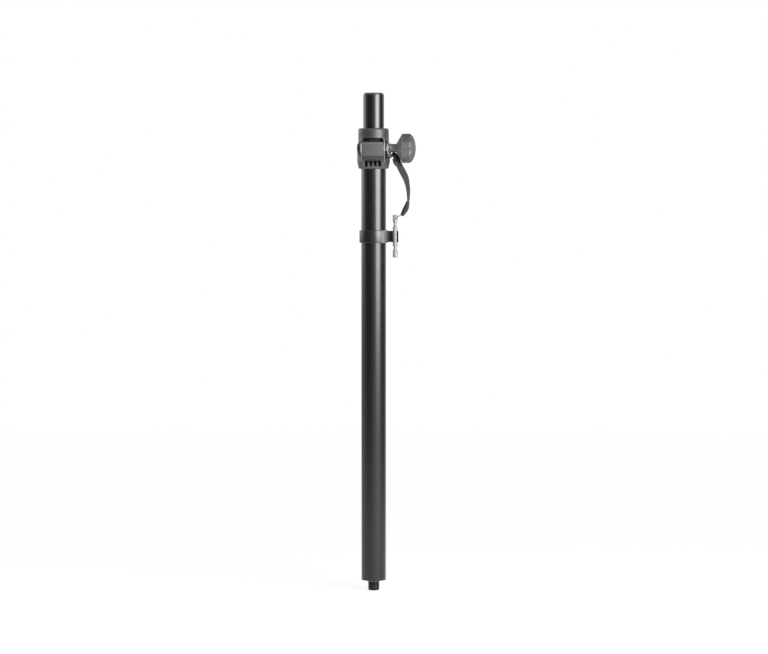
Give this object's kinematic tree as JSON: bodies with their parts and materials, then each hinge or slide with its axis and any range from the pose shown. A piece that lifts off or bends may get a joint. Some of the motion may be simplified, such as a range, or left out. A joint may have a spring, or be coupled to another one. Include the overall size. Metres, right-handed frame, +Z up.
{
  "type": "speaker pole",
  "caption": "Telescopic speaker pole with a threaded foot, a clamp collar with a star knob, and a locking pin on a webbing lanyard parked in a clip.",
  "frame": {"origin": "on the tubes' axis at the foot of the lower tube, where it lands on the speaker's threaded plate", "axes": "+Z up the pole; the collar's barrel faces -Y; the knob, the lanyard and the pin are on +X"},
  "size_m": [0.099, 0.0752, 0.8392],
  "materials": {
    "tube_coat": "satin",
    "black_steel": "satin",
    "moulding": "satin",
    "knob_plastic": "satin",
    "cap_plastic": "satin",
    "nylon": "satin",
    "plug_metal": "satin",
    "bright_steel": "gloss",
    "zinc_steel": "satin",
    "webbing": "matte"
  },
  "bodies": {
    "base": {"lower_tube": "tube_coat", "base_plug": "plug_metal", "base_stud": "black_steel", "stud_pin": "zinc_steel", "plug_rivets": "black_steel", "clamp_housing": "moulding", "housing_screws": "black_steel", "guide_bush": "nylon", "liner_ring": "cap_plastic", "pin_clip": "moulding", "strap_ring": "bright_steel", "lanyard_strap": "webbing"},
    "upper_pole": {"upper_tube": "tube_coat", "top_cap": "cap_plastic", "slide_bush": "nylon", "bush_rivets": "zinc_steel"},
    "bolt_jaw": {"clamp_bolt": "black_steel", "head_washer": "bright_steel", "jaw_left": "knob_plastic"},
    "knob_jaw": {"jaw_right": "knob_plastic", "knob_washer": "bright_steel"},
    "knob": {"knob": "knob_plastic", "knob_insert": "zinc_steel"},
    "lock_pin": {"locking_pin": "bright_steel", "pin_ring": "bright_steel"}
  },
  "joints": [
    {"name": "height_slide", "type": "slide", "parent": "base", "child": "upper_pole", "axis": [0, 0, 1], "range_m": [0, 0.6]},
    {"name": "bolt_jaw_slide", "type": "slide", "parent": "base", "child": "bolt_jaw", "axis": [-1, 0, 0], "range_m": [0, 0.000625]},
    {"name": "knob_jaw_slide", "type": "slide", "parent": "base", "child": "knob_jaw", "axis": [1, 0, 0], "range_m": [0, 0.000625]},
    {"name": "knob_turn", "type": "hinge", "parent": "knob_jaw", "child": "knob", "pos_m": [0.035, -0.023, 0.7287], "axis": [1, 0, 0], "range_deg": [0, 360]},
    {"name": "pin_release", "type": "slide", "parent": "base", "child": "lock_pin", "axis": [0, -1, 0], "range_m": [0, 0.015], "deforming": ["lanyard_strap"]}
  ],
  "couplings": [
    {"joint": "bolt_jaw_slide", "follows": "knob_turn", "m_per_rad": 0.00009947},
    {"joint": "knob_jaw_slide", "follows": "knob_turn", "m_per_rad": 0.00009947}
  ]
}
